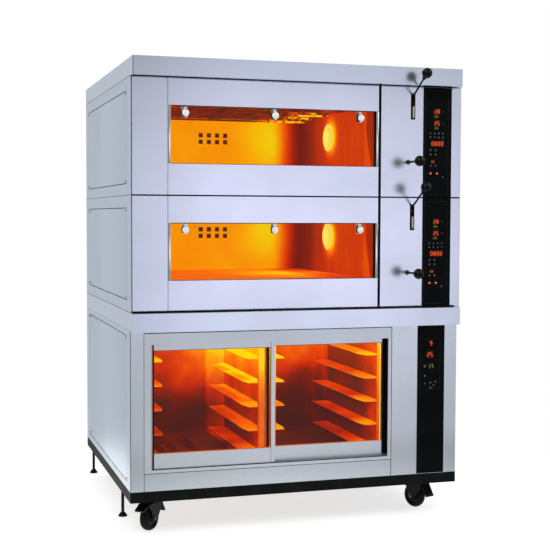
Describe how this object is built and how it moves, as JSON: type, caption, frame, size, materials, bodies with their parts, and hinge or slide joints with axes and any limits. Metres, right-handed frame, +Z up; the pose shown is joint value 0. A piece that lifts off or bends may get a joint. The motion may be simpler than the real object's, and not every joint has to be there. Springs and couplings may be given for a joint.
{
  "type": "deck oven",
  "caption": "Two-deck bakery oven with tall control columns, lit windows and levers, on a proofer cabinet with sliding glass doors and a castor base.",
  "frame": {"origin": "middle of the footprint, on the floor", "axes": "+Z up, -Y out of the oven's front, +X to the right when facing the front"},
  "size_m": [1.25, 1.285, 1.675],
  "materials": {
    "brushed_steel": "fine brushed",
    "chamber_steel": "heat-tinted",
    "element_steel": "oxidised",
    "castor_steel": "black painted",
    "frame_paint": "satin",
    "aluminium": "anodised satin",
    "black_panel": "gloss overlay",
    "black_plastic": "moulded",
    "castor_rubber": "moulded",
    "hearth_stone": "sawn baking stone",
    "glass": "clear",
    "lamp_glass": "warm lit lens"
  },
  "bodies": {
    "oven_body": {"lower_deck_casing": "brushed_steel", "lower_deck_left_panel": "brushed_steel", "lower_deck_window_panel": "brushed_steel", "lower_deck_control_column": "brushed_steel", "lower_deck_chamber": "chamber_steel", "lower_deck_hearth": "hearth_stone", "lower_deck_top_element": "element_steel", "lower_deck_bottom_element": "element_steel", "lower_deck_control_panel": "black_panel", "lower_deck_lamp": "lamp_glass", "upper_deck_casing": "brushed_steel", "upper_deck_left_panel": "brushed_steel", "upper_deck_window_panel": "brushed_steel", "upper_deck_control_column": "brushed_steel", "upper_deck_chamber": "chamber_steel", "upper_deck_hearth": "hearth_stone", "upper_deck_top_element": "element_steel", "upper_deck_bottom_element": "element_steel", "upper_deck_control_panel": "black_panel", "upper_deck_lamp": "lamp_glass", "proofer_casing": "brushed_steel", "proofer_front_frame": "brushed_steel", "middle_fascia": "brushed_steel", "top_hood": "brushed_steel", "proofer_control_panel": "black_panel", "proofer_door_track": "aluminium", "mains_gland": "black_plastic", "proofer_liner": "chamber_steel", "tray_rack_left": "chamber_steel", "tray_rack_middle": "chamber_steel", "tray_rack_right": "chamber_steel", "humidifier_tray": "chamber_steel", "base_frame": "frame_paint"},
    "lower_door": {"lower_deck_door_glass": "glass", "lower_deck_door_shaft": "brushed_steel", "lower_deck_door_lever": "black_plastic"},
    "lower_damper": {"lower_deck_damper_rod": "black_plastic"},
    "upper_door": {"upper_deck_door_glass": "glass", "upper_deck_door_shaft": "brushed_steel", "upper_deck_door_lever": "black_plastic"},
    "upper_damper": {"upper_deck_damper_rod": "black_plastic"},
    "left_door": {"left_door_frame": "aluminium", "left_door_glass": "glass"},
    "right_door": {"right_door_frame": "aluminium", "right_door_glass": "glass", "right_door_grip": "black_plastic"},
    "castor_swivel_front_left": {"castor_fork_front_left": "castor_steel"},
    "castor_roll_front_left": {"castor_wheel_front_left": "castor_rubber"},
    "castor_brake_front_left": {"castor_brake_front_left": "black_plastic"},
    "castor_swivel_front_right": {"castor_fork_front_right": "castor_steel"},
    "castor_roll_front_right": {"castor_wheel_front_right": "castor_rubber"},
    "castor_brake_front_right": {"castor_brake_front_right": "black_plastic"},
    "castor_swivel_rear_left": {"castor_fork_rear_left": "castor_steel"},
    "castor_roll_rear_left": {"castor_wheel_rear_left": "castor_rubber"},
    "castor_swivel_rear_right": {"castor_fork_rear_right": "castor_steel"},
    "castor_roll_rear_right": {"castor_wheel_rear_right": "castor_rubber"},
    "foot_front_left": {"levelling_foot_front_left": "black_plastic"},
    "foot_front_right": {"levelling_foot_front_right": "black_plastic"},
    "foot_rear_left": {"levelling_foot_rear_left": "black_plastic"},
    "foot_rear_right": {"levelling_foot_rear_right": "black_plastic"}
  },
  "joints": [
    {"name": "lower_door_swing", "type": "hinge", "parent": "oven_body", "child": "lower_door", "pos_m": [-0.1, -0.44948, 1.135], "axis": [1, 0, 0], "range_deg": [0, 70]},
    {"name": "lower_damper_push", "type": "slide", "parent": "oven_body", "child": "lower_damper", "axis": [0, 1, 0], "range_m": [0, 0.057]},
    {"name": "upper_door_swing", "type": "hinge", "parent": "oven_body", "child": "upper_door", "pos_m": [-0.1, -0.44948, 1.544], "axis": [1, 0, 0], "range_deg": [0, 70]},
    {"name": "upper_damper_push", "type": "slide", "parent": "oven_body", "child": "upper_damper", "axis": [0, 1, 0], "range_m": [0, 0.057]},
    {"name": "left_door_slide", "type": "slide", "parent": "oven_body", "child": "left_door", "axis": [1, 0, 0], "range_m": [0, 0.43]},
    {"name": "right_door_slide", "type": "slide", "parent": "oven_body", "child": "right_door", "axis": [-1, 0, 0], "range_m": [0, 0.42]},
    {"name": "castor_swivel_front_left", "type": "hinge", "parent": "oven_body", "child": "castor_swivel_front_left", "pos_m": [-0.525, -0.38148, 0.116], "axis": [0, 0, 1], "continuous": true},
    {"name": "castor_roll_front_left", "type": "hinge", "parent": "castor_swivel_front_left", "child": "castor_roll_front_left", "pos_m": [-0.543, -0.40292, 0.047], "axis": [-0.766, 0.6428, 0], "continuous": true},
    {"name": "castor_brake_front_left", "type": "hinge", "parent": "castor_swivel_front_left", "child": "castor_brake_front_left", "pos_m": [-0.56485, -0.42897, 0.098], "axis": [0.766, -0.6428, 0], "range_deg": [0, 12]},
    {"name": "castor_swivel_front_right", "type": "hinge", "parent": "oven_body", "child": "castor_swivel_front_right", "pos_m": [0.525, -0.38148, 0.116], "axis": [0, 0, 1], "continuous": true},
    {"name": "castor_roll_front_right", "type": "hinge", "parent": "castor_swivel_front_right", "child": "castor_roll_front_right", "pos_m": [0.51542, -0.35516, 0.047], "axis": [0.9397, 0.342, 0], "continuous": true},
    {"name": "castor_brake_front_right", "type": "hinge", "parent": "castor_swivel_front_right", "child": "castor_brake_front_right", "pos_m": [0.50379, -0.32321, 0.098], "axis": [-0.9397, -0.342, 0], "range_deg": [0, 12]},
    {"name": "castor_swivel_rear_left", "type": "hinge", "parent": "oven_body", "child": "castor_swivel_rear_left", "pos_m": [-0.525, 0.49852, 0.116], "axis": [0, 0, 1], "continuous": true},
    {"name": "castor_roll_rear_left", "type": "hinge", "parent": "castor_swivel_rear_left", "child": "castor_roll_rear_left", "pos_m": [-0.50894, 0.52146, 0.047], "axis": [0.8192, -0.5736, 0], "continuous": true},
    {"name": "castor_swivel_rear_right", "type": "hinge", "parent": "oven_body", "child": "castor_swivel_rear_right", "pos_m": [0.525, 0.49852, 0.116], "axis": [0, 0, 1], "continuous": true},
    {"name": "castor_roll_rear_right", "type": "hinge", "parent": "castor_swivel_rear_right", "child": "castor_roll_rear_right", "pos_m": [0.49795, 0.50577, 0.047], "axis": [0.2588, 0.9659, 0], "continuous": true},
    {"name": "foot_height_front_left", "type": "slide", "parent": "oven_body", "child": "foot_front_left", "axis": [0, 0, 1], "range_m": [0, 0.02]},
    {"name": "foot_height_front_right", "type": "slide", "parent": "oven_body", "child": "foot_front_right", "axis": [0, 0, 1], "range_m": [0, 0.02]},
    {"name": "foot_height_rear_left", "type": "slide", "parent": "oven_body", "child": "foot_rear_left", "axis": [0, 0, 1], "range_m": [0, 0.02]},
    {"name": "foot_height_rear_right", "type": "slide", "parent": "oven_body", "child": "foot_rear_right", "axis": [0, 0, 1], "range_m": [0, 0.02]}
  ]
}
